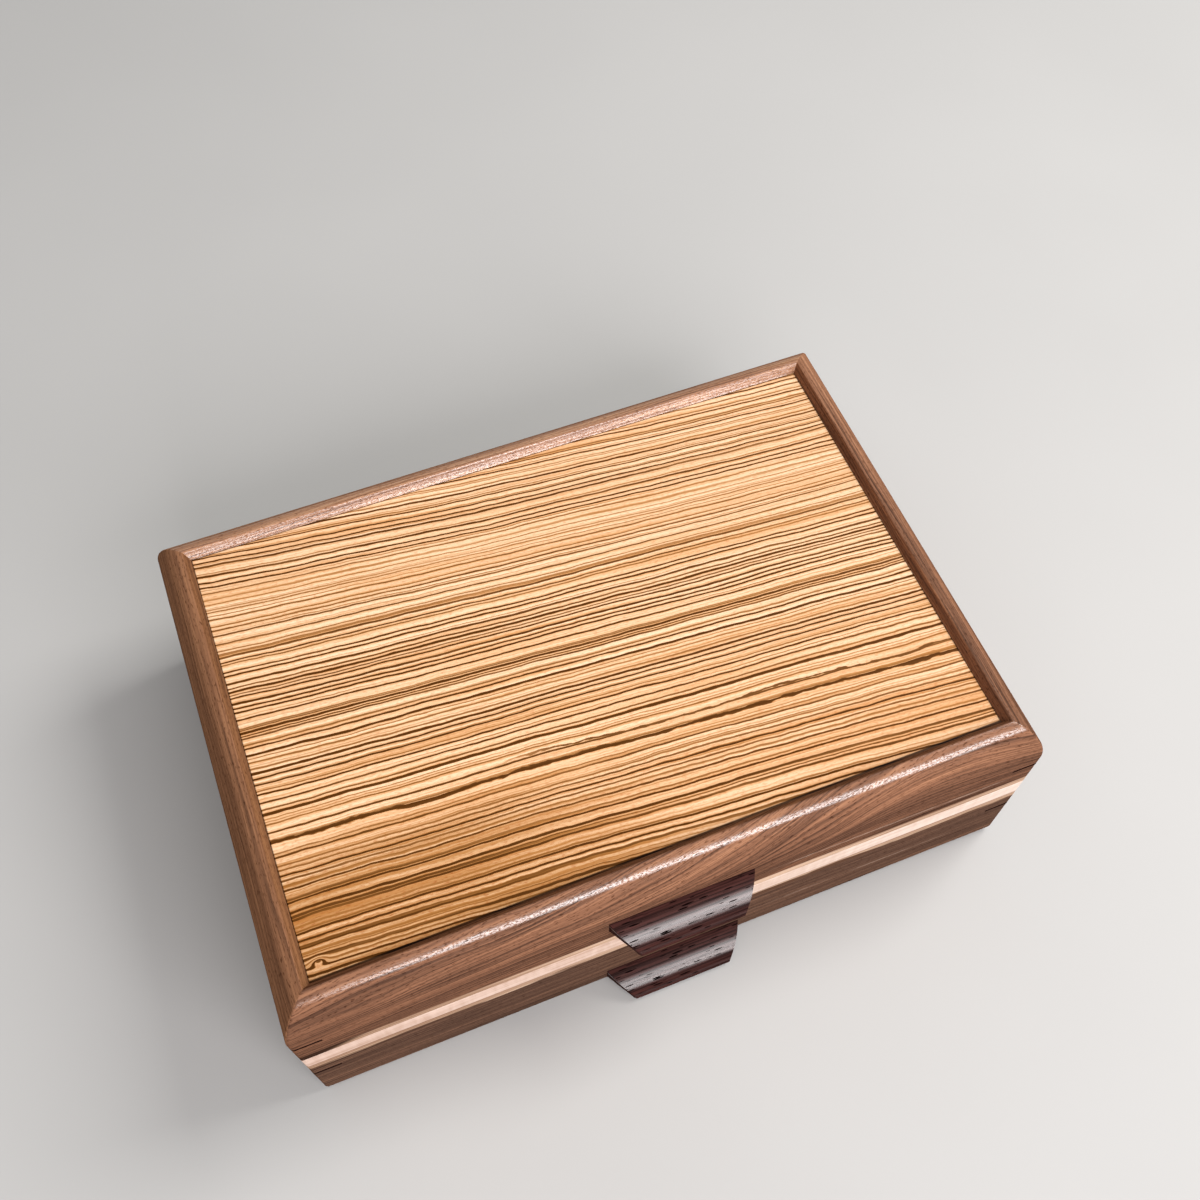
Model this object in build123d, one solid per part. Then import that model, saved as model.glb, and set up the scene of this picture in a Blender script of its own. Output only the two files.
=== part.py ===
from build123d import *
import os

# Jewelry chest: a mitred walnut box with a keyed lid frame, a sunk lid panel, a light accent band and lip pulls.
# Millimetres. X runs along the front, Y to the back and Z up. The origin is on the table, in the middle of the
# whole footprint, with the pulls and the hinge barrels.

# Box
chest_length = 300.0
chest_depth = 211.5
wall = 15.0
corner_round = 1.6
base_wall_height = 39.0
trim_height = 5.4
band_height = 10.4
seam_gap = 0.4
seam_ease = 0.5
lid_rail_height = 36.4
overrun = 1.0

# Bottom board, held in a groove of the base walls
foot_round = 4.0
bottom_lift = 6.0
bottom_thickness = 4.0
bottom_tongue = 5.0
groove_gap = 0.3

# Lid rail: a straight face, a large round up to the crest, a narrow crown, and a bevel down to the panel
round_height = 17.5
crest_inset = 8.5
crest_drop = 1.0
crest_round = 2.0
arris_inset = 12.0
arris_round = 0.6
bevel_run = 2.4
bevel_drop = 3.8
panel_thickness = 6.0
panel_tongue = 5.0

# Corner keys: thin slips let into saw cuts across the mitres
key_leg = 11.5
key_thickness = 1.6
lid_key_height = 17.8
base_key_height = 31.2

# Lip pulls: crowned above, hollowed below, narrower at the tip, both set a little left of the middle by hand
pull_width = 58.0
pull_tip_width = 41.0
pull_offset = -1.6
pull_reach = 12.6
pull_root = 8.7
pull_tip = 3.0
pull_nose = 1.1
pull_droop = 8.2
pull_crown = 1.4
pull_cove = 3.4
pull_end_bow = 1.0
base_pull_height = 12.8

# Butt hinges
hinge_length = 40.0
hinge_spread_share = 0.6
knuckle_count = 5
knuckle_gap = 0.2
leaf_width = 11.0
leaf_thickness = 1.6
barrel_radius = 3.0
barrel_gap = 0.3
pin_radius = 1.25
pin_clearance = 0.05
pin_head_radius = 2.1
pin_head_height = 1.0
screw_head_radius = 2.2
screw_head_height = 1.2
screw_shank_radius = 1.1
screw_length = 8.0
screw_row_shares = (-0.35, 0.0, 0.35)

# Lining, dividers and runners in the base
lining_thickness = 2.0
fitting_gap = 0.3
divider_thickness = 4.0
divider_height = 14.0
field_count = 3
lap_gap = 0.1
runner_width = 7.0
runner_height = 6.0
runner_lift = 27.0

# Sliding tray
tray_length = 120.0
tray_height = 19.0
tray_wall = 6.0
tray_corner_round = 1.0
tray_side_gap = 0.4
tray_end_gap = 0.5
tray_lift = 0.3
tray_floor_lift = 1.5
tray_floor_thickness = 3.0
tray_floor_tongue = 3.0
tray_divider_thickness = 4.0
tray_divider_drop = 2.0
scoop_width = 44.0
scoop_depth = 6.0

# Ring rolls in the back part of the tray
ring_part_depth = 84.0
ring_roll_count = 5
ring_roll_height = 11.0
ring_roll_side = 4.0
ring_roll_gap = 0.5
ring_roll_end_inset = 0.8
ring_roll_end_drop = 1.6

# Heights and places worked out from the sizes above
band_z = base_wall_height + trim_height
rim_z = band_z + band_height
lid_z = rim_z + seam_gap
rail_z = lid_z + trim_height
chest_height = rail_z + lid_rail_height
crest_z = chest_height - crest_drop
round_z = crest_z - round_height
panel_z = chest_height - bevel_drop
inner_length = chest_length - 2 * wall
inner_depth = chest_depth - 2 * wall
hinge_spacing = hinge_spread_share * chest_length
cross_divider_spacing = inner_length / field_count
bottom_z = bottom_lift + bottom_thickness
lining_z = bottom_z + lining_thickness
runner_z = runner_lift + runner_height
hinge_y = chest_depth / 2 + barrel_radius + barrel_gap
hinge_z = rim_z + seam_gap / 2
footprint_front = -chest_depth / 2 - pull_reach
footprint_back = hinge_y + barrel_radius
origin_y = (footprint_front + footprint_back) / 2
tray_depth = inner_depth - 2 * tray_side_gap
tray_x = -inner_length / 2 + tray_end_gap + tray_length / 2
tray_z = runner_z + tray_lift
tray_floor_z = tray_z + tray_floor_lift + tray_floor_thickness
tray_rim_z = tray_z + tray_height
tray_inner_length = tray_length - 2 * tray_wall
tray_inner_depth = tray_depth - 2 * tray_wall
ring_part_y = tray_inner_depth / 2 - ring_part_depth

SIDES = {"front": 0, "right": 90, "back": 180, "left": 270}
CORNERS = [(-1, -1), (1, -1), (1, 1), (-1, 1)]


def arris_waste(sign, run, reach, corner):
    """Outline of what rounding takes off the upright arris at one end of a side."""
    size = corner + overrun
    middle_x = sign * (run / 2 - corner)
    middle_y = -reach / 2 + corner
    square = Pos(middle_x + sign * size / 2, middle_y - size / 2) * Rectangle(size, size)
    return square - Pos(middle_x, middle_y) * Circle(corner)


def mitred_side(section, side, length, depth, thickness, corner):
    """One side of a frame: a section of inset against height, drawn along the side and mitred at both ends."""
    if side in ("front", "back"):
        run, reach = length, depth
    else:
        run, reach = depth, length
    face = Plane(origin=(0, -reach / 2, 0), x_dir=(0, 1, 0), z_dir=(1, 0, 0))
    bar = extrude(face * section, run / 2, both=True)
    box = bar.bounding_box()
    tall = box.size.Z + 2 * overrun
    outer = overrun
    inner = thickness + overrun
    wedge = Polygon(
        (-run / 2 - outer, -reach / 2 - outer),
        (run / 2 + outer, -reach / 2 - outer),
        (run / 2 - inner, -reach / 2 + inner),
        (-run / 2 + inner, -reach / 2 + inner),
        align=None,
    )
    below = Pos(0, 0, box.min.Z - overrun)
    piece = bar & (below * extrude(wedge, tall, dir=(0, 0, 1)))
    for sign in (-1, 1):
        piece = piece - below * extrude(arris_waste(sign, run, reach, corner), tall, dir=(0, 0, 1))
    return Rot(0, 0, SIDES[side]) * piece


def mitred_frame(section, length=chest_length, depth=chest_depth, thickness=wall, corner=corner_round):
    """The four sides of a frame, by name."""
    return {side: mitred_side(section, side, length, depth, thickness, corner) for side in SIDES}


def strip_section(low, high, thickness=wall):
    """A plain strip's section, from one height to another."""
    return Pos(0, low) * Rectangle(thickness, high - low, align=(Align.MIN, Align.MIN))


def eased(section, height):
    """The same section with its outside edge at that height taken off."""
    return chamfer(nearest_vertex(section, 0, height), seam_ease)


def nearest_vertex(section, inset, height):
    """The section's corner at a place."""
    return section.vertices().sort_by_distance((inset, height, 0))[0]


def base_wall_section():
    """Straight wall with a round on its lower outside edge and the bottom board's groove inside."""
    groove = wall - bottom_tongue - groove_gap
    foot = TangentArc((foot_round, 0), (0, foot_round), tangent=(-1, 0))
    rest = Polyline(
        (0, foot_round),
        (0, base_wall_height),
        (wall, base_wall_height),
        (wall, bottom_z),
        (groove, bottom_z),
        (groove, bottom_lift),
        (wall, bottom_lift),
        (wall, 0),
        (foot_round, 0),
    )
    return make_face(foot + rest)


def lid_rail_section():
    """Straight face, round, crown, bevel, and the groove that holds the panel's edge."""
    panel_inset = arris_inset + bevel_run
    groove = panel_inset - panel_tongue - groove_gap
    round_side = TangentArc((0, round_z), (crest_inset, crest_z), tangent=(0, 1))
    rest = Polyline(
        (crest_inset, crest_z),
        (arris_inset, chest_height),
        (panel_inset, panel_z),
        (groove, panel_z),
        (groove, panel_z - panel_thickness),
        (wall, panel_z - panel_thickness),
        (wall, rail_z),
        (0, rail_z),
        (0, round_z),
    )
    section = make_face(round_side + rest)
    section = fillet(nearest_vertex(section, crest_inset, crest_z), crest_round)
    return fillet(nearest_vertex(section, arris_inset, chest_height), arris_round)


def cut_all(piece, tools):
    """A piece less several tools."""
    for tool in tools:
        piece = piece - tool
    return piece


def board(length, depth, low, high):
    """A flat rectangular piece between two heights, centred on the box."""
    return Pos(0, 0, low) * Box(length, depth, high - low, align=(Align.CENTER, Align.CENTER, Align.MIN))


def lid_panel():
    """The board in the lid frame's grooves, with room to swell."""
    tongue_inset = arris_inset + bevel_run - panel_tongue
    length = chest_length - 2 * tongue_inset
    depth = chest_depth - 2 * tongue_inset
    return board(length, depth, panel_z - panel_thickness, panel_z)


def base_bottom():
    """The board in the base walls' grooves."""
    length = inner_length + 2 * bottom_tongue
    depth = inner_depth + 2 * bottom_tongue
    return board(length, depth, bottom_lift, bottom_z)


def key_blank(sign_x, sign_y, height):
    """The saw cut across one corner: a level three-sided slot, open to both faces."""
    edge_x = chest_length / 2 + overrun
    edge_y = chest_depth / 2 + overrun
    leg = key_leg + 2 * overrun
    outline = Polygon(
        (sign_x * edge_x, sign_y * edge_y),
        (sign_x * (edge_x - leg), sign_y * edge_y),
        (sign_x * edge_x, sign_y * (edge_y - leg)),
        align=None,
    )
    return Pos(0, 0, height) * extrude(outline, key_thickness / 2, both=True)


def key_frame(frame, height):
    """Cuts the key slots into a frame and returns the keys, which end flush with its faces."""
    blanks = [key_blank(x, y, height) for x, y in CORNERS]
    keys = []
    for blank, (x, y) in zip(blanks, CORNERS):
        beside = frame["right" if x > 0 else "left"]
        along = frame["back" if y > 0 else "front"]
        keys.append((beside + along) & blank)
    for side, piece in frame.items():
        frame[side] = cut_all(piece, blanks)
    return Compound(keys)


def pull(top):
    """Lip pull on the front wall: crowned top, hollow underside, thin nose, ends bowed in plan."""
    low = top - pull_root
    tip_top = top - pull_droop
    tip_low = tip_top - pull_tip
    nose = pull_reach - pull_nose
    crown_mid = (nose / 2, (top + tip_top) / 2 + pull_crown)
    cove_mid = (nose / 2, (low + tip_low) / 2 + pull_cove)
    outline = (
        Line((0, low), (0, top))
        + ThreePointArc((0, top), crown_mid, (nose, tip_top))
        + ThreePointArc((nose, tip_top), (pull_reach, (tip_top + tip_low) / 2), (nose, tip_low))
        + ThreePointArc((nose, tip_low), cove_mid, (0, low))
    )
    side = Plane(origin=(0, -chest_depth / 2, 0), x_dir=(0, -1, 0), z_dir=(-1, 0, 0))
    bar = extrude(side * make_face(outline), pull_width, both=True)
    root_x = pull_width / 2
    tip_x = pull_tip_width / 2
    bow_x = (root_x + tip_x) / 2 + pull_end_bow
    bow_y = -pull_reach / 2
    plan = (
        Line((-root_x, 0), (root_x, 0))
        + ThreePointArc((root_x, 0), (bow_x, bow_y), (tip_x, -pull_reach))
        + Line((tip_x, -pull_reach), (-tip_x, -pull_reach))
        + ThreePointArc((-tip_x, -pull_reach), (-bow_x, bow_y), (-root_x, 0))
    )
    lowest = min(low, tip_low) - overrun
    tallest = top + pull_crown + overrun - lowest
    lip = bar & (Pos(0, -chest_depth / 2, lowest) * extrude(make_face(plan), tallest, dir=(0, 0, 1)))
    return Pos(pull_offset, 0, 0) * lip


def along_x(x, y, z, radius, length):
    """A round bar along X from a starting point."""
    return Pos(x, y, z) * Rot(0, 90, 0) * Cylinder(radius, length, align=(Align.CENTER, Align.CENTER, Align.MIN))


def hinge_places():
    """Where the two hinges' middles lie along the back."""
    return [-hinge_spacing / 2, hinge_spacing / 2]


def hinge_leaf(middle, low, own):
    """One leaf with its own knuckles rolled round the hinge axis; own says which knuckles are its."""
    pitch = hinge_length / knuckle_count
    leaf_y = chest_depth / 2 - leaf_width
    leaf = Pos(middle, leaf_y, low) * Box(
        hinge_length, leaf_width, leaf_thickness, align=(Align.CENTER, Align.MIN, Align.MIN)
    )
    for i in own:
        start = middle - hinge_length / 2 + i * pitch + knuckle_gap / 2
        wide = pitch - knuckle_gap
        tongue = Pos(start, chest_depth / 2 - overrun, low) * Box(
            wide, hinge_y - chest_depth / 2 + overrun, leaf_thickness, align=(Align.MIN, Align.MIN, Align.MIN)
        )
        leaf = leaf + tongue + along_x(start, hinge_y, hinge_z, barrel_radius, wide)
    return leaf


def leaf_blank(middle, low):
    """The shallow seat that a leaf fills in the wood."""
    return Pos(middle, chest_depth / 2 - leaf_width, low) * Box(
        hinge_length, leaf_width + overrun, leaf_thickness, align=(Align.CENTER, Align.MIN, Align.MIN)
    )


def pin_bore(middle, radius):
    """A bore through a whole hinge, along its axis."""
    return along_x(middle - hinge_length / 2 - overrun, hinge_y, hinge_z, radius, hinge_length + 2 * overrun)


def hinge_pin(middle):
    """A pin as long as the hinge, with a flat round head at each end."""
    start = middle - hinge_length / 2
    pin = along_x(start, hinge_y, hinge_z, pin_radius, hinge_length)
    for x in (start - pin_head_height, start + hinge_length):
        pin = pin + along_x(x, hinge_y, hinge_z, pin_head_radius, pin_head_height)
    return pin


def leaf_screws(face_z, down):
    """Countersunk screws of all leaves on one side of the seam, their heads flush with the leaf's open face."""
    head = Cone(screw_shank_radius, screw_head_radius, screw_head_height, align=(Align.CENTER, Align.CENTER, Align.MAX))
    shank = Cylinder(screw_shank_radius, screw_length, align=(Align.CENTER, Align.CENTER, Align.MAX))
    screw = head + shank
    turn = Rot(0, 0, 0) if down else Rot(180, 0, 0)
    y = chest_depth / 2 - leaf_width / 2
    places = [m + share * hinge_length for m in hinge_places() for share in screw_row_shares]
    return [Pos(x, y, face_z) * turn * screw for x in places]


def cross_divider(x):
    """A divider from front to back, notched from below over the long one."""
    depth = inner_depth - 2 * fitting_gap
    plate = board(divider_thickness, depth, lining_z, lining_z + divider_height)
    notch = board(divider_thickness + 2 * overrun, divider_thickness + 2 * lap_gap,
                  lining_z - overrun, lining_z + divider_height / 2)
    return Pos(x, 0, 0) * (plate - notch)


def long_divider(crossings):
    """A divider from end to end, notched from above where the others cross it."""
    length = inner_length - 2 * fitting_gap
    plate = board(length, divider_thickness, lining_z, lining_z + divider_height)
    notch = board(divider_thickness + 2 * lap_gap, divider_thickness + 2 * overrun,
                  lining_z + divider_height / 2, lining_z + divider_height + overrun)
    return cut_all(plate, [Pos(x, 0, 0) * notch for x in crossings])


def runner(sign):
    """A strip along the front or back wall that carries the tray."""
    y = sign * (inner_depth - runner_width) / 2
    return Pos(0, y, 0) * board(inner_length, runner_width, runner_lift, runner_z)


def tray_section():
    """A tray side with the groove for the tray's floor."""
    low = tray_z + tray_floor_lift
    groove = tray_wall - tray_floor_tongue - groove_gap
    slot = Pos(groove, low) * Rectangle(tray_wall, tray_floor_thickness, align=(Align.MIN, Align.MIN))
    return strip_section(tray_z, tray_rim_z, tray_wall) - slot


def finger_scoop():
    """A shallow round dip across both ends of the tray, for lifting fingers."""
    radius = (scoop_width ** 2 / 4 + scoop_depth ** 2) / (2 * scoop_depth)
    start = -tray_length / 2 - overrun
    return along_x(start, 0, tray_rim_z - scoop_depth + radius, radius, tray_length + 2 * overrun)


def tray_floor():
    """The board in the tray sides' grooves."""
    length = tray_inner_length + 2 * tray_floor_tongue
    depth = tray_inner_depth + 2 * tray_floor_tongue
    return board(length, depth, tray_z + tray_floor_lift, tray_floor_z)


def tray_long_divider():
    """The divider between the ring rolls and the open compartments."""
    y = ring_part_y - tray_divider_thickness / 2
    length = tray_inner_length - 2 * fitting_gap
    return Pos(0, y, 0) * board(length, tray_divider_thickness, tray_floor_z, tray_rim_z - tray_divider_drop)


def open_part_depth():
    """How deep the tray's open compartments are, in front of the long divider."""
    return ring_part_y - tray_divider_thickness + tray_inner_depth / 2


def tray_short_divider():
    """The divider between the two open compartments."""
    depth = open_part_depth() - 2 * fitting_gap
    y = -tray_inner_depth / 2 + open_part_depth() / 2
    return Pos(0, y, 0) * board(tray_divider_thickness, depth, tray_floor_z, tray_rim_z - tray_divider_drop)


def tray_pad(sign):
    """The lining pad of one open compartment."""
    room = (tray_inner_length - tray_divider_thickness) / 2
    x = sign * (tray_divider_thickness + room) / 2
    y = -tray_inner_depth / 2 + open_part_depth() / 2
    length = room - 2 * fitting_gap
    depth = open_part_depth() - 2 * fitting_gap
    return Pos(x, y, 0) * board(length, depth, tray_floor_z, tray_floor_z + lining_thickness)


def ring_roll(y):
    """One padded roll: flat below, straight low sides, a round top, and ends drawn in a little."""
    width = ring_part_depth / ring_roll_count - ring_roll_gap
    length = tray_inner_length - 2 * fitting_gap

    def section(x, inset, drop):
        half = width / 2 - inset
        side_z = tray_floor_z + ring_roll_side - drop / 2
        top_z = tray_floor_z + ring_roll_height - drop
        outline = Polyline((half, side_z), (half, tray_floor_z), (-half, tray_floor_z), (-half, side_z))
        outline += ThreePointArc((-half, side_z), (0, top_z), (half, side_z))
        return Plane(origin=(x, y, 0), x_dir=(0, 1, 0), z_dir=(1, 0, 0)) * make_face(outline)

    end = section(-length / 2, ring_roll_end_inset, ring_roll_end_drop)
    middle = section(0, 0, 0)
    other = section(length / 2, ring_roll_end_inset, ring_roll_end_drop)
    return loft([end, middle, other])


def lid_pieces():
    """Everything that swings with the lid."""
    rails = mitred_frame(lid_rail_section())
    trims = mitred_frame(eased(strip_section(lid_z, rail_z), lid_z))
    keys = key_frame(rails, lid_z + lid_key_height)
    seats = [leaf_blank(m, lid_z) for m in hinge_places()]
    screws = leaf_screws(lid_z, down=False)
    trims["back"] = cut_all(trims["back"], seats + screws)
    rails["back"] = cut_all(rails["back"], screws)
    own = range(1, knuckle_count, 2)
    leaves = [cut_all(hinge_leaf(m, lid_z, own), screws) for m in hinge_places()]
    leaves = [leaf - pin_bore(m, pin_radius + pin_clearance) for leaf, m in zip(leaves, hinge_places())]
    pieces = {f"lid_rail_{side}": rail for side, rail in rails.items()}
    pieces.update({f"lid_trim_{side}": trim for side, trim in trims.items()})
    pieces["lid_panel"] = lid_panel()
    pieces["lid_keys"] = keys
    pieces["lid_pull"] = pull(round_z)
    pieces["hinge_leaves_lid"] = Compound(leaves)
    pieces["hinge_screws_lid"] = Compound(screws)
    return pieces


def base_pieces():
    """Everything that stands still: the box, its hinges' lower halves and its fittings."""
    walls = mitred_frame(base_wall_section())
    trims = mitred_frame(strip_section(base_wall_height, band_z))
    bands = mitred_frame(eased(strip_section(band_z, rim_z), rim_z))
    keys = key_frame(walls, base_key_height)
    seat_z = rim_z - leaf_thickness
    seats = [leaf_blank(m, seat_z) for m in hinge_places()]
    screws = leaf_screws(rim_z, down=True)
    bands["back"] = cut_all(bands["back"], seats + screws)
    trims["back"] = cut_all(trims["back"], screws)
    walls["back"] = cut_all(walls["back"], screws)
    own = range(0, knuckle_count, 2)
    leaves = [cut_all(hinge_leaf(m, seat_z, own), screws) for m in hinge_places()]
    leaves = [leaf - pin_bore(m, pin_radius) for leaf, m in zip(leaves, hinge_places())]
    crossings = [-cross_divider_spacing / 2, cross_divider_spacing / 2]
    pieces = {f"base_wall_{side}": piece for side, piece in walls.items()}
    pieces.update({f"base_trim_{side}": piece for side, piece in trims.items()})
    pieces.update({f"base_band_{side}": piece for side, piece in bands.items()})
    pieces["base_keys"] = keys
    pieces["base_pull"] = pull(base_pull_height)
    pieces["base_bottom"] = base_bottom()
    pieces["base_lining"] = board(
        inner_length - 2 * fitting_gap, inner_depth - 2 * fitting_gap, bottom_z, lining_z
    )
    pieces["base_divider_long"] = long_divider(crossings)
    pieces["base_divider_left"] = cross_divider(crossings[0])
    pieces["base_divider_right"] = cross_divider(crossings[1])
    pieces["runner_front"] = runner(-1)
    pieces["runner_back"] = runner(1)
    pieces["hinge_leaves_base"] = Compound(leaves)
    pieces["hinge_screws_base"] = Compound(screws)
    pieces["hinge_pins"] = Compound([hinge_pin(m) for m in hinge_places()])
    return pieces


def tray_pieces():
    """The sliding tray, stored at the left end of its travel."""
    sides = mitred_frame(tray_section(), tray_length, tray_depth, tray_wall, tray_corner_round)
    scoop = finger_scoop()
    pieces = {f"tray_side_{side}": piece for side, piece in sides.items()}
    for side in ("left", "right"):
        pieces[f"tray_side_{side}"] = pieces[f"tray_side_{side}"] - scoop
    pieces["tray_floor"] = tray_floor()
    pieces["tray_divider_long"] = tray_long_divider()
    pieces["tray_divider_short"] = tray_short_divider()
    pieces["tray_pad_left"] = tray_pad(-1)
    pieces["tray_pad_right"] = tray_pad(1)
    pitch = ring_part_depth / ring_roll_count
    for i in range(ring_roll_count):
        pieces[f"ring_roll_{i + 1}"] = ring_roll(ring_part_y + (i + 1 / 2) * pitch)
    return {name: Pos(tray_x, 0, 0) * piece for name, piece in pieces.items()}


os.makedirs("parts", exist_ok=True)
for name, shape in {**lid_pieces(), **base_pieces(), **tray_pieces()}.items():
    export_step(Pos(0, -origin_y, 0) * shape, f"parts/{name}.step")
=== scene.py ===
# %% [markdown]
# # A jewelry chest in walnut and zebrawood
# The solids of the chest come in as a fixed frame: mitred walls, a keyed lid frame, hinges, a tray. This lesson
# dresses them. It reshapes the pieces that sandpaper rounded, sews the soft pieces, and gives every wood its grain.

# %% Load the frame and keep its box
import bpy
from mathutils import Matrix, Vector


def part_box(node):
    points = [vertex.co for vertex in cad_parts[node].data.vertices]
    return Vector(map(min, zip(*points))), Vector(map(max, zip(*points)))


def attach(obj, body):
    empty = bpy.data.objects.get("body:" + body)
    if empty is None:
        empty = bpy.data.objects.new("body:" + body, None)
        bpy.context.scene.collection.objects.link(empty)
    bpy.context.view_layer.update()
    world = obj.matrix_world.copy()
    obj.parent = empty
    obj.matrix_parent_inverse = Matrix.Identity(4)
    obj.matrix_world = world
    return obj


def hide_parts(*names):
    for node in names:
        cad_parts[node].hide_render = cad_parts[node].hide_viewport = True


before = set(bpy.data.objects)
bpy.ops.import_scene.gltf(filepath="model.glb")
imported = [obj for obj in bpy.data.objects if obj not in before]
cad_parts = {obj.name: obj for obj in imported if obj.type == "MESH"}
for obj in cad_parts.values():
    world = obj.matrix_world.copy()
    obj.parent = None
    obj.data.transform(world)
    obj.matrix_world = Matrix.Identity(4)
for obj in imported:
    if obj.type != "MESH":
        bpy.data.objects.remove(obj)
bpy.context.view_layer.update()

from math import pi, radians

import bpy
import numpy as np
from mathutils import Vector

MM = 0.001
print("solids in the frame:", len(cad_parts))

# %% [markdown]
# The view is a steep one from the front left, as if someone stood over the chest. A camera is only a place, three
# angles and a lens. It comes first, so that every later picture is taken from the same spot.

# %% Camera
camera = bpy.data.objects.new("camera", bpy.data.cameras.new("camera"))
camera.data.lens = 39.45
camera.data.sensor_width = 36.0
camera.location = (-0.0858, -0.22715, 0.5492)
camera.rotation_euler = (radians(29.99), radians(-0.32), radians(-21.40))
bpy.context.scene.collection.objects.link(camera)
bpy.context.scene.camera = camera
bpy.context.scene.view_settings.view_transform = "Standard"
print("lens in mm:", camera.data.lens)

# %% [markdown]
# Satin lacquer shows itself by what it mirrors. A wide soft box in front, a little to the right, is what the front
# crest and the pulls mirror, and a thin one below it is what the far bevel mirrors. A third on the right is mirrored
# by nothing that faces the camera, so it only brightens the panel.


# %% Soft boxes
def soft_box(name, place, target, width, height, power, colour):
    """A rectangular light: its place, the point it looks at, its two sides in metres, and its power in watts."""
    light = bpy.data.lights.new(name, "AREA")
    light.shape = "RECTANGLE"
    light.size, light.size_y = width, height
    light.energy = power
    light.color = colour
    holder = bpy.data.objects.new(name, light)
    look = (Vector(target) - Vector(place)).to_track_quat("-Z", "Y")
    holder.location, holder.rotation_euler = place, look.to_euler()
    bpy.context.scene.collection.objects.link(holder)


soft_box("key", (0.247, -1.271, 1.010), (0.0, 0.0, 0.07), 1.3, 0.80, 21.5, (1.0, 0.96, 0.965))
soft_box("low", (0.265, -1.585, 0.393), (0.02, 0.095, 0.095), 1.2, 0.16, 6.0, (1.0, 0.95, 0.95))
soft_box("side", (1.02, 0.05, 1.32), (0.0, 0.0, 0.07), 0.7, 0.7, 19.0, (1.0, 0.98, 0.95))
print("soft boxes in front and on the right")

# %% [markdown]
# A node material is arithmetic on sockets. The class below wraps one socket, so that a sum written in Python adds
# the Math nodes by itself, and one method makes every other kind of node.


# %% A socket that can be used in sums
class Wire:
    """One socket of a material. An operator between wires, or a wire and a number, adds one Math node."""

    def __init__(self, tree, socket=None):
        self.tree, self.socket = tree, socket

    def node(self, kind, settings=None, sockets=None, out=0):
        """Any node: its type, its settings, which are set first, and the values or links of its sockets."""
        made = self.tree.nodes.new("ShaderNode" + kind)
        for key, value in (settings or {}).items():
            if key == "stops":
                ramp = made.color_ramp
                while len(ramp.elements) < len(value):
                    ramp.elements.new(1.0)
                for element, (level, colour) in zip(ramp.elements, value):
                    element.position, element.color = level, (*colour, 1.0)
            else:
                setattr(made, key, value)
        for key, value in (sockets or {}).items():
            if isinstance(value, Wire):
                self.tree.links.new(value.socket, made.inputs[key])
            else:
                made.inputs[key].default_value = value
        return Wire(self.tree, made.outputs[out])

    def math(self, operation, *values):
        """One Math node on this wire and up to two more values."""
        return self.node("Math", {"operation": operation}, dict(enumerate((self, *values))))

    def __add__(self, other): return self.math("ADD", other)
    def __sub__(self, other): return self.math("SUBTRACT", other)
    def __rsub__(self, other): return self.node("Math", {"operation": "SUBTRACT"}, {0: other, 1: self})
    def __mul__(self, other): return self.math("MULTIPLY", other)
    def __truediv__(self, other): return self.math("DIVIDE", other)
    def __pow__(self, other): return self.math("POWER", other)


def ease(wire, low, high, start=0.0, end=1.0):
    """A smooth step: start below low, end above high."""
    settings = {"interpolation_type": "SMOOTHSTEP"}
    return wire.node("MapRange", settings, {0: wire, 1: low, 2: high, 3: start, 4: end})


def place(x, y=0.0, z=0.0):
    """Three wires or numbers as one vector."""
    return x.node("CombineXYZ", None, {0: x, 1: y, 2: z})


def cloud(vector, scale=1.0, detail=2.0, rough=0.5):
    """Soft noise from 0 to 1, with one blob per unit of the vector."""
    return vector.node("TexNoise", None, {"Vector": vector, "Scale": scale, "Detail": detail, "Roughness": rough})


def tint(share, first, second):
    """A colour between two, by share."""
    return share.node("Mix", {"data_type": "RGBA"}, {0: share, 6: paint(first), 7: paint(second)}, 2)


def shade(colour, share, by):
    """A colour multiplied by another, as far as share says."""
    settings = {"data_type": "RGBA", "blend_type": "MULTIPLY"}
    return share.node("Mix", settings, {0: share, 6: colour, 7: paint(by)}, 2)


def paint(colour):
    """A tuple of three as a socket's four; a wire stays as it is."""
    return colour if isinstance(colour, Wire) else (*colour, 1.0)


def finish(name, **constants):
    """A new material with one Principled shader; returns it with a wire to start from."""
    material = bpy.data.materials.new(name)
    material.use_nodes = True
    shader = material.node_tree.nodes["Principled BSDF"]
    for key, value in constants.items():
        shader.inputs[key.replace("_", " ")].default_value = value
    return material, Wire(material.node_tree)


def connect(material, **wires):
    """Links wires to the shader's sockets by name."""
    shader = material.node_tree.nodes["Principled BSDF"]
    for key, wire in wires.items():
        material.node_tree.links.new(wire.socket, shader.inputs[key.replace("_", " ")])


def dent(height, strength, distance):
    """A Bump node: the surface seems lower where height is lower."""
    return height.node("Bump", None, {"Height": height, "Strength": strength, "Distance": distance})


def millimetres(start):
    """Where the shaded point lies in the chest's own frame, as three wires in mm."""
    place_m = start.node("TexCoord", out="Object")
    parts = start.node("SeparateXYZ", None, {0: place_m})
    outs = parts.socket.node.outputs
    return [Wire(start.tree, outs[i]) * 1000.0 for i in range(3)]


print("shader words ready")

# %% [markdown]
# The rest of the studio is a dim, even glow, somewhat brighter in front than behind, so that the panel, which mirrors
# what is behind it, keeps its contrast. Below lies a plain pale floor.

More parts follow.
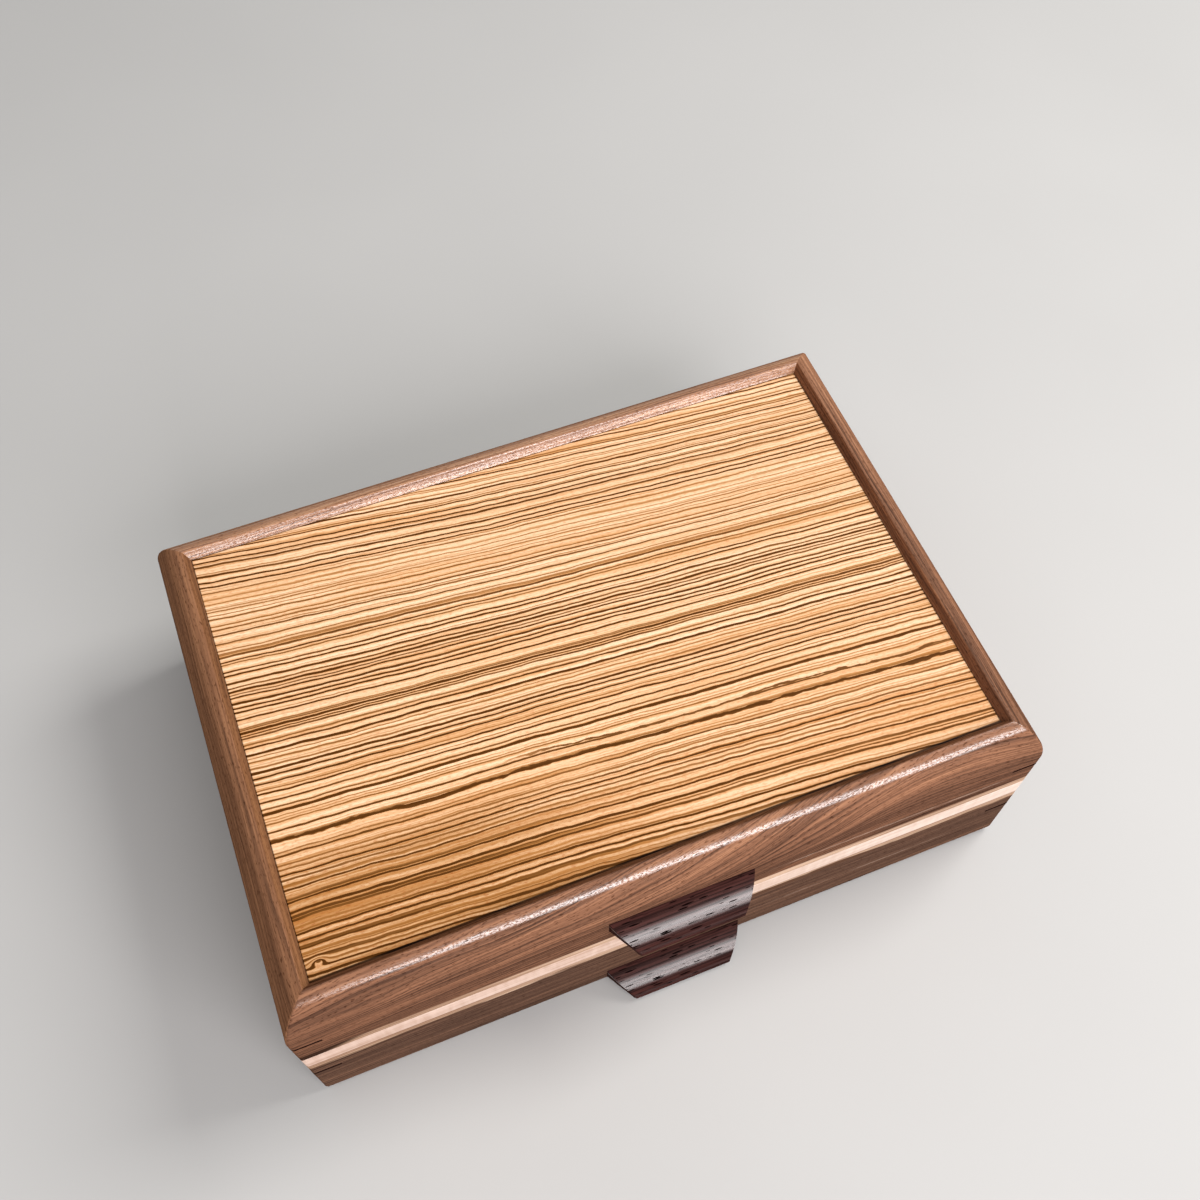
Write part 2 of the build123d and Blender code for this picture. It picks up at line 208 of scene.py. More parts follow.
# %% World and floor
world = bpy.data.worlds.new("studio")
bpy.context.scene.world = world
world.use_nodes = True
air = Wire(world.node_tree)
ways = air.node("SeparateXYZ", None, {0: air.node("TexCoord", out="Generated")}).socket.node.outputs
frontness = Wire(world.node_tree, ways[0]) * 0.35 - Wire(world.node_tree, ways[1])
glow = ease(frontness, -0.8, 0.8, 0.34, 0.56)
backdrop = world.node_tree.nodes["Background"]
backdrop.inputs["Color"].default_value = (1.0, 0.985, 0.97, 1.0)
world.node_tree.links.new(glow.socket, backdrop.inputs["Strength"])


def floor_material():
    """Pale matt paper with a very faint cloud in it."""
    material, start = finish("pale_floor", Roughness=0.9)
    x, y, z = millimetres(start)
    mottle = cloud(place(x / 180.0, y / 180.0))
    connect(material, Base_Color=tint(mottle, (0.46, 0.46, 0.455), (0.50, 0.50, 0.495)))
    return material


FLOOR_HALF = 6.0
floor_corners = [(x * FLOOR_HALF, y * FLOOR_HALF, 0.0) for x, y in ((-1, -1), (1, -1), (1, 1), (-1, 1))]
floor_mesh = bpy.data.meshes.new("floor")
floor_mesh.from_pydata(floor_corners, [], [(0, 1, 2, 3)])
floor = bpy.data.objects.new("floor", floor_mesh)
floor_mesh.materials.append(floor_material())
bpy.context.scene.collection.objects.link(floor)
print("floor laid")

# %% [markdown]
# The panel is the heart of the chest: zebrawood, pale gold with dark growth lines. Each line is a contour of one
# number, the stripe height: a point's distance to the back, corrected by the slope and bend of the grain. Where that
# number is near a line's own value, the wood is dark. Some noise in the number makes the lines waver together. The
# finer lines come from chance and keep clear of the strong ones, so that each line stays crisp.

# %% Zebrawood
BOX_Y = 3.15          # the box's middle lies this far behind the frame's origin, mm
PANEL_HALF, PANEL_DEEP = 135.6, 91.35
MOAT = 0.9            # no finer line comes this near to a strong one, mm
GROWTH_LINES = (      # stripe height in mm, darkness, half width in mm: the strongest lines, from back to front
    (110.5, 0.6, 0.58), (103.8, 0.5, 0.43), (98.4, 0.85, 0.65), (95.4, 0.5, 0.43), (86.6, 0.8, 0.65),
    (81.6, 0.8, 0.65), (68.2, 0.5, 0.36), (64.4, 0.55, 0.43), (57.6, 0.55, 0.43), (49.4, 0.7, 0.5),
    (46.4, 0.55, 0.36), (43.4, 0.75, 0.65), (39.6, 0.6, 0.43), (30.6, 0.8, 0.65), (26.6, 0.95, 0.65),
    (25.0, 0.7, 0.43), (20.8, 0.9, 0.65), (8.2, 0.9, 0.65), (5.8, 0.8, 0.5), (-1.6, 0.95, 0.65),
    (-9.2, 0.95, 0.65), (-16.6, 0.55, 0.43), (-26.4, 0.95, 0.79), (-30.6, 0.6, 0.43), (-43.8, 0.75, 0.5),
    (-49.0, 0.7, 0.5), (-53.2, 0.7, 0.43), (-56.6, 0.8, 0.5), (-65.0, 0.85, 0.72), (-67.8, 0.8, 0.65),
    (-77.8, 0.7, 0.65), (-83.0, 0.8, 0.79),
)


def stripe_height(x, y):
    """y plus the drop of the grain from the left end: a*t + b*t*t, with a and b larger towards the back."""
    t = (x + PANEL_HALF) / (2 * PANEL_HALF)
    back = ((y + t * 19.0 + 57.0) / 133.0).math("MAXIMUM", 0.0)
    a = back ** 1.5 * 22.7 + 15.0
    b = back * -15.0 + 4.8
    return y + a * t + b * t * t


def growth_line(height, middle, dark, half):
    """Dark where the stripe height is within half of middle."""
    return ease((height - middle).math("ABSOLUTE"), 0.45 * half, 1.15 * half, dark, 0.0)


def random_lines(height, pitch, seed, half, faintest, darkest):
    """Lines about one pitch apart at random places, each as dark as chance says: a pattern of cells on one axis."""
    settings = {"W": height / pitch + seed, "Scale": 1.0, "Randomness": 0.85}
    cells = height.node("TexVoronoi", {"voronoi_dimensions": "1D"}, settings)
    chance = height.node("SeparateXYZ", None, {0: Wire(height.tree, cells.socket.node.outputs["Color"])})
    return ease(cells, 0.4 * half / pitch, half / pitch, 1.0, 0.0) * ease(chance, 0.0, 1.0, faintest, darkest)


def zebrawood(name):
    """Gold wood with contour lines of the stripe height, finer random lines between them and short pores,
    and a painted shadow round the edge.
    """
    material, start = finish(name, Specular_IOR_Level=0.05)
    x, y, z = millimetres(start)
    y = y - BOX_Y
    knot = (((x + 130.5) / 2.8) ** 2.0 * -1.0 - ((y + 85.0) / 1.7) ** 2.0).math("EXPONENT")
    plain = stripe_height(x, y)
    drift = cloud(place(x / 55.0, plain / 26.0, 3.0), 1.0, 1.0) - 0.5
    shiver = cloud(place(x / 12.0, plain / 7.0, 8.0), 1.0, 2.0) - 0.5
    rag = cloud(place(x / 5.0, plain / 1.6, 1.0), 1.0, 2.0) - 0.5
    height = plain + drift * 2.6 + shiver * 1.2 + rag * 0.35 - knot * 2.4
    fade = ease(cloud(place(x / 70.0, plain / 2.2, 5.0), 1.0, 1.0), 0.25, 0.55, 0.8, 1.0)
    fade = fade * ease(x, -60.0, 130.0, 1.0, 0.92)
    lines = beside = height * 0.0
    for middle, dark, half in GROWTH_LINES:
        lines = lines.math("MAXIMUM", growth_line(height, middle, dark, half))
        beside = beside.math("MAXIMUM", ease((height - middle).math("ABSOLUTE"), half, half + MOAT, 1.0, 0.0))
    knotty = height + drift * 3.5 + (cloud(place(x / 22.0, 4.0, 2.0), 1.0, 1.0) - 0.5) * 4.0 + rag * 1.6
    thick = ease(cloud(place(x / 14.0, 6.0, 4.0), 1.0, 2.0), 0.35, 0.65, 0.75, 1.5)
    wild = growth_line((knotty + 38.4) / thick, 0.0, 0.78, 0.8)
    branch = growth_line((knotty + drift * 2.0 + 33.6) / thick, 0.0, 0.7, 0.5) * ease(x, -70.0, -20.0)
    calm = ease((plain - 68.0).math("ABSOLUTE"), 5.0, 10.0, 0.7, 1.0)
    between = random_lines(height, 2.5, 0.0, 0.56, 0.55, 1.15) * fade * calm * (1.0 - beside * 0.85)
    busy = ease(cloud(place(x / 90.0, plain / 9.0, 6.0)), 0.3, 0.6, 0.4, 1.0)
    thin = random_lines(height, 1.4, 40.0, 0.38, 0.0, 0.52) * busy * (1.0 - beside * 0.85)
    brown = ease(x + plain * 0.9, -10.0, -150.0) * ease(plain, -36.0, -60.0)
    crowded = random_lines(height, 1.7, 90.0, 0.62, 0.05, 0.8) * brown
    silk = cloud(place(x / 110.0, height / 1.5, 12.0), 1.0, 3.0, 0.65)
    slow = cloud(place(x / 260.0, plain / 9.0, 9.0), 1.0, 2.0)
    gold = tint(ease(silk * 0.6 + slow * 0.4, 0.34, 0.60), (0.75, 0.43, 0.21), (0.925, 0.665, 0.44))
    gold = shade(gold, random_lines(height, 2.5, 0.0, 1.3, 0.3, 0.75) * fade * calm, (0.84, 0.66, 0.46))
    gold = shade(gold, ease(y, 0.0, -80.0), (0.95, 0.89, 0.83))
    gold = shade(gold, ease(x, -60.0, 130.0), (0.94, 0.94, 0.95))
    gold = shade(gold, brown * ease(silk, 0.62, 0.42, 0.45, 1.0), (0.62, 0.52, 0.38))
    speck = ease(cloud(place(x / 2.2, height / 0.5, 2.0), 1.0, 2.0, 0.6), 0.46, 0.70)
    dark = (lines * fade).math("MAXIMUM", wild).math("MAXIMUM", branch).math("MAXIMUM", between)
    dark = dark.math("MAXIMUM", thin).math("MAXIMUM", crowded).math("MAXIMUM", ease(knot, 0.78, 0.95) * 0.7)
    wood = shade(gold, speck * (brown * 0.3 + 0.65), (0.74, 0.55, 0.42))
    wood = tint(ease(dark, 0.0, 0.5, 0.0, 0.85), wood, (0.41, 0.165, 0.036))
    wood = tint(ease(dark, 0.28, 0.85), wood, (0.080, 0.026, 0.003))
    # Painted shadow: a dark line round the panel's edge where the rails meet it, half a millimetre wider along the
    # front.
    rim = (PANEL_HALF - x.math("ABSOLUTE")).math("MINIMUM", PANEL_DEEP - y.math("ABSOLUTE"))
    rim = rim.math("MINIMUM", y + (PANEL_DEEP - 0.5))
    wood = shade(wood, ease(rim, 0.1, 0.6, 0.95, 0.0), (0.05, 0.03, 0.02))
    grain = speck * -0.6 + dark * -0.4
    connect(material, Base_Color=wood, Roughness=dark * 0.08 + speck * 0.1 + 0.40, Normal=dent(grain, 0.12, 0.0002))
    return material


def dress(material, *names):
    """Gives solids of the frame a new finish; their shapes stay."""
    for name in names:
        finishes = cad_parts[name].data.materials
        finishes.clear()
        finishes.append(material)


dress(zebrawood("zebrawood_panel"), "lid_panel")
print("growth lines placed by hand:", len(GROWTH_LINES))

# %% [markdown]
# Walls and rails are boards with mitred ends. On the real chest the upright corners were sanded a little, and the
# shoulder of the lid a good deal more. So each board is its section carried along one side: straight in the middle,
# and at each end along half of a quarter circle, as far as the mitre. The circle's radius may differ at each height.

# %% Mitred sides
LENGTH, DEPTH = 300.0, 211.5
TURNS = {"front": 0, "right": 1, "back": 2, "left": 3}


def turned(along, out, side):
    """Distances along a side and out from the box's middle, as x and y of the frame: quarter turns from the front."""
    x, y = [(along, -out), (out, along), (-along, out), (-out, -along)][TURNS[side]]
    return x, y + BOX_Y


def carry(section, radii, side, arc_steps=9, run_steps=40):
    """Points and grain lengths of a board: rows follow its section, columns run along the side from mitre to mitre."""
    half_run, half_out = (LENGTH / 2, DEPTH / 2) if side in ("front", "back") else (DEPTH / 2, LENGTH / 2)
    inset, height = section.T[:, :, None]
    radius = radii[:, None]
    swing = np.linspace(pi / 4, pi / 2, arc_steps)
    straight = np.linspace(1.0, -1.0, run_steps)[1:-1]
    turn_run = half_run - inset - radius
    arc_run = turn_run + radius * np.cos(swing)
    arc_out = half_out - inset - radius + radius * np.sin(swing)
    along = np.hstack([arc_run, turn_run * straight, -arc_run[:, ::-1]])
    out = np.hstack([arc_out, (half_out - inset) + 0 * straight, arc_out[:, ::-1]])
    x, y = turned(along, out, side)
    return np.dstack([x, y, height + 0 * along]), along


def closed_faces(rows, columns):
    """Quads of a grid whose rows close on themselves, and the two end polygons, all facing outwards."""
    i, j = np.meshgrid(np.arange(rows), np.arange(columns - 1), indexing="ij")
    below, above = i * columns + j, (i + 1) % rows * columns + j
    quads = np.dstack([below, above, above + 1, below + 1]).reshape(-1, 4)
    first = np.arange(rows)[::-1] * columns
    last = np.arange(rows) * columns + columns - 1
    return quads, first, last


def board_uv(along, section, quads, first, last):
    """Grain map of a carried board: length along the grain and length round the section, in mm, corner by corner."""
    rows, columns = along.shape
    step = np.hypot(*(np.roll(section, -1, 0) - section).T)
    girth = np.concatenate([[0.0], np.cumsum(step)])
    row, column = np.divmod(quads, columns)
    wrapped = np.where((row == 0) & (quads[:, :1] // columns == rows - 1), rows, row)
    sides = np.dstack([along.ravel()[quads], girth[wrapped]]).reshape(-1, 2)
    ends = [np.column_stack([along.ravel()[e], girth[e // columns]]) for e in (first, last)]
    return np.vstack([sides, *ends])


def piece(name, points, faces, body, material, replaced, uv=None, sharp=35.0):
    """A finished piece: points in mm, faces, shading broken at sharp edges, what it rides on and what it replaces."""
    mesh = bpy.data.meshes.new(name)
    mesh.from_pydata(np.asarray(points).reshape(-1, 3) * MM, [], faces)
    mesh.polygons.foreach_set("use_smooth", np.ones(len(mesh.polygons), bool))
    mesh.set_sharp_from_angle(angle=radians(sharp))
    if uv is not None:
        mesh.uv_layers.new(name="grain").data.foreach_set("uv", (uv * MM).astype(np.float32).ravel())
    mesh.materials.append(material)
    made = bpy.data.objects.new(name, mesh)
    bpy.context.scene.collection.objects.link(made)
    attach(made, body)
    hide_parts(*replaced)
    return made


def mitred_board(name, section, radii, side, body, material, replaced):
    """One wall or rail as a piece."""
    points, along = carry(section, radii, side)
    quads, first, last = closed_faces(*along.shape)
    uv = board_uv(along, section, quads, first, last)
    faces = quads.tolist() + [first.tolist(), last.tolist()]
    return piece(name, points, faces, body, material, replaced, uv)


def bent(start, control, end, steps):
    """A curve from start to end that leans towards control: the quadratic Bezier of the three points."""
    t = np.linspace(0.0, 1.0, steps)[:, None]
    return (1 - t) ** 2 * np.array(start) + 2 * t * (1 - t) * np.array(control) + t ** 2 * np.array(end)


print("board tools ready")

# %% [markdown]
# Walnut is brown in bands, and every band is made of finer streaks, down to open pores like pencil dashes. All of
# them are noise that is stretched along the board and bent a little. The lid's front rail was cut near a branch:
# there the streaks climb from the left and flow over an eye that is darker.


# %% Walnut
def grain_map(start):
    """The piece's own map: mm along the grain and mm round the section."""
    uv = start.node("TexCoord", out="UV")
    parts = start.node("SeparateXYZ", None, {0: uv})
    outs = parts.socket.node.outputs
    return Wire(start.tree, outs[0]) * 1000.0, Wire(start.tree, outs[1]) * 1000.0


def walnut_figure(along, across, seed, wave=1.0):
    """Height of the bent growth layers at a point: across, plus two sizes of noise."""
    slow = cloud(place(along / 85.0, across / 16.0, seed), 1.0, 1.0) - 0.5
    quick = cloud(place(along / 22.0, across / 6.0, seed + 4.0), 1.0, 2.0) - 0.5
    return across + slow * (9.0 * wave) + quick * (2.0 * wave)


SHOULDER_FROM, SHOULDER_TO = 8.0, 34.0    # mm round a rail's section, from the foot of its face
CREST_FROM, CREST_TO, CROWN_MIDDLE, BEVEL_FROM = 36.0, 39.6, 39.0, 41.2
WALNUT_STOPS = (
    (0.26, (0.036, 0.017, 0.011)), (0.39, (0.106, 0.051, 0.031)),
    (0.50, (0.225, 0.105, 0.059)), (0.61, (0.35, 0.172, 0.094)), (0.76, (0.53, 0.310, 0.185)),
)


def walnut(name, seed, lift, stain=(1.0, 1.0, 1.0), wave=0.5, contrast=1.0, rings=(0.08, 2.3), low=0.0,
           bevel=(1.0, 1.0, 1.0), slope=0.0, gloss=(0.02, 0.02), mirror=1.5, crown=1.0, figure=None, streak=None):
    """Growth rings that darken and end sharply, bands, streaks and hairs, then pores.

    low darkens the face below the shoulder, and bevel multiplies the bevel's colour: painted shade, with a painted
    warm bounce from the panel. gloss is the lacquer's weight off and on the crest, mirror its index of refraction,
    and crown how much of that gloss goes on past the crest; a crown below 1 also pales the band along the crown, a
    painted highlight.
    """
    material, start = finish(name, Specular_IOR_Level=0.0, Coat_Roughness=0.2, Coat_IOR=mirror)
    along, across = grain_map(start)
    layers = figure(along, across) if figure else across
    q = walnut_figure(along, layers, seed, wave)
    bands = cloud(place(along / 420.0, q / 7.5, seed), 1.0, 2.0) - 0.5
    streaks = cloud(place(along / 110.0, q / 1.1, seed + 2.0), 1.0, 3.0, 0.6) - 0.5
    hairs = cloud(place(along / 24.0, q / 0.6, seed + 7.0), 1.0, 2.0) - 0.5
    ring = (q / rings[1] + cloud(place(along / 260.0, q / 11.0, seed + 3.0), 1.0, 1.0) * 3.0).math("FRACT")
    late = ease(ring, 0.25, 0.92) * ease(ring, 1.0, 0.93)
    late = late * ease(cloud(place(along / 70.0, q / 3.5, seed + 5.0)), 0.35, 0.65, 0.15, 1.0)
    # Painted highlight: with crown below 1, the band along the crown is made paler where the crest's highlight falls.
    paler = ease((across - CROWN_MIDDLE).math("ABSOLUTE"), 2.5, 1.0, 0.0, (1.0 - crown) * 0.05)
    light = ease(across, SHOULDER_FROM, SHOULDER_TO, low, 0.0) + paler + along * slope + (0.51 + lift)
    tone = (bands * 0.34 + streaks * 0.40 + hairs * 0.26) * contrast - late * rings[0] + light
    stops = [(level, tuple(np.multiply(colour, stain))) for level, colour in WALNUT_STOPS]
    wood = start.node("ValToRGB", {"stops": stops}, {0: tone})
    # Painted shade with a painted warm bounce from the panel: the bevel's colour darkened and warmed.
    wood = shade(wood, ease(across, BEVEL_FROM, BEVEL_FROM + 1.0), bevel)
    if streak:
        pale = streak(along, across) * ease(cloud(place(along / 16.0, q / 0.7, 3.0), 1.0, 3.0), 0.38, 0.62)
        wood = tint(pale, wood, (0.55, 0.40, 0.31))
    pores = ease(cloud(place(along / 2.4, q / 0.4, seed + 1.0), 1.0, 1.0), 0.58, 0.68)
    wood = shade(wood, pores * 0.8, (0.42, 0.36, 0.33))
    sparkle = ease(cloud(place(along / 1.1, across / 0.4, seed), 1.0, 2.0), 0.38, 0.56, 0.15, 1.0)
    lanes = ease(cloud(place(along / 120.0, across / 0.9, seed + 6.0), 1.0, 2.0), 0.38, 0.58, 0.3, 1.0)
    crest = ease(across, CREST_FROM, CREST_FROM + 1.2) * ease(across, CREST_TO - 1.0, CREST_TO, 1.0, crown)
    polish = (crest * (gloss[1] - gloss[0]) + gloss[0]) * sparkle * lanes.math("MAXIMUM", 1.0 - crown)
    polish = polish * ease(along, -150.0, -80.0, 0.1 + 0.5 * crown, 1.0) * (1.0 - pores * 0.8)
    relief = dent(hairs * 0.08 - pores, 0.4, 0.0003)
    rough = streaks * 0.10 + pores * 0.15 + 0.45
    connect(material, Base_Color=wood, Roughness=rough, Coat_Weight=polish, Normal=relief)
    return material


def branch_eye(along, across):
    """Layers over the eye of a branch: a hill with its top near the right end, on a slope that rises to the right."""
    hill = (((along - 98.0) / 66.0) ** 2.0 * -1.0).math("EXPONENT")
    return across - hill * 19.0 - along * 0.085


def pale_line(height, slope, left, right, half, strength):
    """A function that marks one long pale streak on the front, at a height that falls along its length."""
    def mark(along, across):
        off = (across - height + along * slope).math("ABSOLUTE")
        ends = ease(along, left, left + 25.0) * ease(along, right, right - 25.0)
        return ease(off, 0.3 * half, half, strength, 0.0) * ends
    return mark


print("walnut ready")

# %% [markdown]
# The lid's rail has a straight face, a large round, a narrow crown and a bevel down to the panel. Its section is a
# list of points; a Bezier curve softens the crest and the inner edge, which catch the light.

# %% Lid rails
RAIL_Z, ROUND_Z, CREST_Z, TOP_Z, PANEL_Z = 60.6, 78.5, 96.0, 97.0, 93.2
CREST_INSET, ARRIS_INSET, PANEL_INSET, WALL = 8.5, 12.0, 14.4, 15.0
GROOVE_INSET, GROOVE_Z, CORNER_ROUND = 9.1, 87.2, 1.6
round_radius = (CREST_INSET ** 2 + (CREST_Z - ROUND_Z) ** 2) / (2 * CREST_INSET)
round_end = np.arcsin((CREST_Z - ROUND_Z) / round_radius)
swing = np.linspace(0.0, 0.90 * round_end, 22)
shoulder = np.column_stack([round_radius * (1 - np.cos(swing)), ROUND_Z + round_radius * np.sin(swing)])
rail_section = np.vstack([
    [(0.0, RAIL_Z), (0.0, RAIL_Z + 6.0), (0.0, RAIL_Z + 12.0)],
    shoulder,
    bent(shoulder[-1], (8.318, 95.948), (10.107, 96.459), 12)[1:],
    bent((11.3, 96.80), (ARRIS_INSET, TOP_Z), (12.5, 96.21), 7),
    [(PANEL_INSET, PANEL_Z), (GROOVE_INSET, PANEL_Z), (GROOVE_INSET, GROOVE_Z), (WALL, GROOVE_Z), (WALL, RAIL_Z)],
])
rail_insets = [0.0, 1.5, 4.0, CREST_INSET, ARRIS_INSET, PANEL_INSET, WALL]
rail_radii = np.interp(rail_section[:, 0], rail_insets, [CORNER_ROUND, 1.3, 0.9, 0.8, 0.5, 0.3, 0.3])
front_streak = pale_line(8.0, 0.018, 30.0, 145.0, 1.1, 0.55)
# The bevel colours below are painted shade with a painted warm bounce from the panel.
rail_woods = {
    "front": walnut("walnut_lid_front", 11.0, -0.01, (1.02, 1.02, 1.04), 1.0, 0.85, (0.11, 1.9), -0.08,
                    (0.66, 0.58, 0.49), 0.0, (0.02, 1.0), 2.25, 0.2, branch_eye, front_streak),
    "right": walnut("walnut_lid_right", 23.0, -0.01, low=-0.05, bevel=(0.81, 0.67, 0.56), slope=0.0005,
                    gloss=(0.02, 0.4)),
    "back": walnut("walnut_lid_back", 37.0, 0.12, contrast=1.1, rings=(0.14, 1.7), low=-0.05, gloss=(0.02, 1.0),
                   mirror=2.1),
    "left": walnut("walnut_lid_left", 41.0, 0.02, (1.02, 1.0, 0.92), contrast=0.8, low=-0.05, bevel=(0.74, 0.72, 0.64),
                   gloss=(0.02, 0.3)),
}
for side in TURNS:
    made = mitred_board(f"lid_rail_{side}_shaped", rail_section, rail_radii, side, "lid",
                        rail_woods[side], [f"lid_rail_{side}"])
    print(made.name, len(made.data.polygons), "faces")

# %% [markdown]
# The base walls are the same kind of board: straight, with a small round at the foot and a groove for the bottom.

# %% Base walls
BASE_TOP, FOOT = 39.0, 4.0
SLOT_INSET, SLOT_LOW, SLOT_HIGH = 9.7, 6.0, 10.0    # the groove that holds the bottom board
foot_swing = np.linspace(0.0, pi / 2, 8)
wall_section = np.vstack([
    np.column_stack([FOOT * (1 - np.sin(foot_swing)), FOOT * (1 - np.cos(foot_swing))]),
    [(0.0, 14.0), (0.0, 26.0), (0.0, BASE_TOP), (WALL, BASE_TOP), (WALL, SLOT_HIGH), (SLOT_INSET, SLOT_HIGH),
     (SLOT_INSET, SLOT_LOW), (WALL, SLOT_LOW), (WALL, 0.0)],
])
wall_insets = [0.0, 1.2, FOOT, SLOT_INSET, WALL]
wall_radii = np.interp(wall_section[:, 0], wall_insets, [CORNER_ROUND, 2.0, 2.0, 0.3, 0.3])
base_streak = pale_line(24.0, 0.018, 25.0, 130.0, 0.9, 0.35)
BASE_STAIN = (0.94, 1.06, 1.18)
wall_woods = {
    "front": walnut("walnut_base_front", 52.0, -0.11, BASE_STAIN, 0.8, 0.7, streak=base_streak),
    "right": walnut("walnut_base_right", 61.0, -0.08, BASE_STAIN, 0.8, 0.7),
    "back": walnut("walnut_base_back", 73.0, -0.05, BASE_STAIN, 0.8, 0.7),
    "left": walnut("walnut_base_left", 87.0, -0.07, BASE_STAIN, 0.8, 0.7),
}
for side in TURNS:
    made = mitred_board(f"base_wall_{side}_shaped", wall_section, wall_radii, side, "base",
                        wall_woods[side], [f"base_wall_{side}"])
    print(made.name, len(made.data.polygons), "faces")

# %% [markdown]
# Wenge is nearly black, with short open pores that stay dark inside a highlight. The corner keys and both pulls are
# of it. The pores go into the colour, the gloss and the bump together, since a pore has no lacquered floor.


# %% Wenge
def wenge(name):
    """Dark red-brown streaks with black dashes, one to a cell of a stretched pattern; polished down the crown."""
    material, start = finish(name, Specular_IOR_Level=0.0, Coat_Roughness=0.25, Coat_IOR=1.9, Roughness=0.5)
    along, across = grain_map(start)
    streaks = cloud(place(along / 60.0, across / 0.9, 4.0), 1.0, 2.0)
    hairs = cloud(place(along / 14.0, across / 0.3, 9.0), 1.0, 2.0)
    wood = tint(ease(streaks * 0.6 + hairs * 0.4, 0.36, 0.64), (0.012, 0.0045, 0.004), (0.056, 0.019, 0.016))
    settings = {"Vector": place(along / 10.0, across / 1.3), "Scale": 1.0}
    cells = start.node("TexVoronoi", {"voronoi_dimensions": "2D"}, settings)
    chance = start.node("SeparateXYZ", None, {0: Wire(start.tree, cells.socket.node.outputs["Color"])})
    crowd = ease(cloud(place(along / 18.0, across / 4.0, 6.0)), 0.38, 0.52)
    pores = ease(cells / (chance * 0.9 + 0.3), 0.20, 0.25, 1.0, 0.0) * crowd
    wood = tint(pores, wood, (0.003, 0.001, 0.001))
    polish = ease(across, 4.8, 9.2, 0.03, 1.0) * ease(across, 9.4, 11.8, 1.0, 0.04)
    coat = (1.0 - pores) * ease(hairs * 0.6 + streaks * 0.4, 0.30, 0.55, 0.6, 1.0) * polish
    connect(material, Base_Color=wood, Coat_Weight=coat, Normal=dent(hairs * 0.06 - pores, 0.4, 0.0003))
    return material


def end_grain(name):
    """Nearly black wood with a fine fleck, for the thin keys."""
    material, start = finish(name, Specular_IOR_Level=0.0, Roughness=0.55)
    x, y, z = millimetres(start)
    fleck = cloud(place(x / 0.6, y / 0.6, z / 0.6), 1.0, 2.0)
    connect(material, Base_Color=tint(ease(fleck, 0.35, 0.65), (0.006, 0.002, 0.002), (0.016, 0.006, 0.005)))
    return material


pull_wood, key_wood = wenge("wenge_polished"), end_grain("wenge_end_grain")
print("wenge ready")

# %% [markdown]
# A key is a thin slip glued into a saw cut across a corner, then sanded flush. Each one is a level slab with three
# sides, whose corner follows the sanded round of the walls. It stands a hair proud, as end grain does.

# %% Corner keys
KEY_LEG, KEY_HALF, PROUD = 11.5, 0.8, 0.03
LID_KEY_Z, BASE_KEY_Z = 73.0, 31.2


def corner_keys(name, height, body, replaced):
    """Four slabs: an outline of two face lines joined by a quarter circle, at two heights, mirrored to each corner."""
    swing = np.linspace(0.0, pi / 2, 9)
    arc = CORNER_ROUND * np.column_stack([1 - np.sin(swing), 1 - np.cos(swing)]) - PROUD
    outline = np.vstack([[(KEY_LEG, -PROUD)], arc, [(-PROUD, KEY_LEG)]])
    count = len(outline)
    points, faces = [], []
    for sign_x, sign_y in ((-1, -1), (1, -1), (1, 1), (-1, 1)):
        ring = outline if sign_x * sign_y < 0 else outline[::-1]
        x = sign_x * (LENGTH / 2 - ring[:, 0])
        y = sign_y * (DEPTH / 2 - ring[:, 1]) + BOX_Y
        base = len(points) * count
        points += [np.column_stack([x, y, np.full(count, height + lift)]) for lift in (-KEY_HALF, KEY_HALF)]
        k = np.arange(count)
        walls = np.column_stack([base + k, base + (k + 1) % count, base + count + (k + 1) % count, base + count + k])
        faces += walls.tolist() + [(base + k[::-1]).tolist(), (base + count + k).tolist()]
    return piece(name, np.vstack(points), faces, body, key_wood, replaced)


for made in (corner_keys("lid_corner_keys", LID_KEY_Z, "lid", ["lid_keys"]),
             corner_keys("base_corner_keys", BASE_KEY_Z, "base", ["base_keys"])):
    print(made.name, len(made.data.polygons), "faces")

# %% [markdown]
# A lip pull is crowned above and hollowed below, thin at its nose, and narrower there than at the wall. Above and
# below are two curves of height against reach; the half width is a third. A bevel breaks the edges. The crown is
# polished most halfway down, where fingers rub it; the nose and the hollow stay dull.

# %% Lip pulls
PULL_REACH, PULL_NOSE, PULL_MIDDLE, BASE_PULL_Z = 12.6, 1.1, -1.6, 12.8
PULL_DROOP, PULL_ROOT, PULL_TIP = 8.2, 8.7, 3.0    # fall of the crown, thickness at the wall and at the nose
CROWN_RISE, COVE_RISE = 1.4, 3.4                   # how far the two curves stand above their chords
PULL_PLAN = ((0.0, 29.0), (PULL_REACH / 2, 25.75), (PULL_REACH, 20.5))    # reach and half width


def arc_through(start, middle, end, steps=40):
    """Points on the circle through three points, from the first to the last."""
    a, b, c = (complex(*p) for p in (start, middle, end))
    w = (c - a) / (b - a)
    centre = (b - a) * (w - abs(w) ** 2) / (2j * w.imag) + a
    turn = np.unwrap(np.angle(np.array([a, b, c]) - centre))
    angle = np.linspace(turn[0], turn[2], steps)
    spots = centre + abs(a - centre) * np.exp(1j * angle)
    return np.column_stack([spots.real, spots.imag])


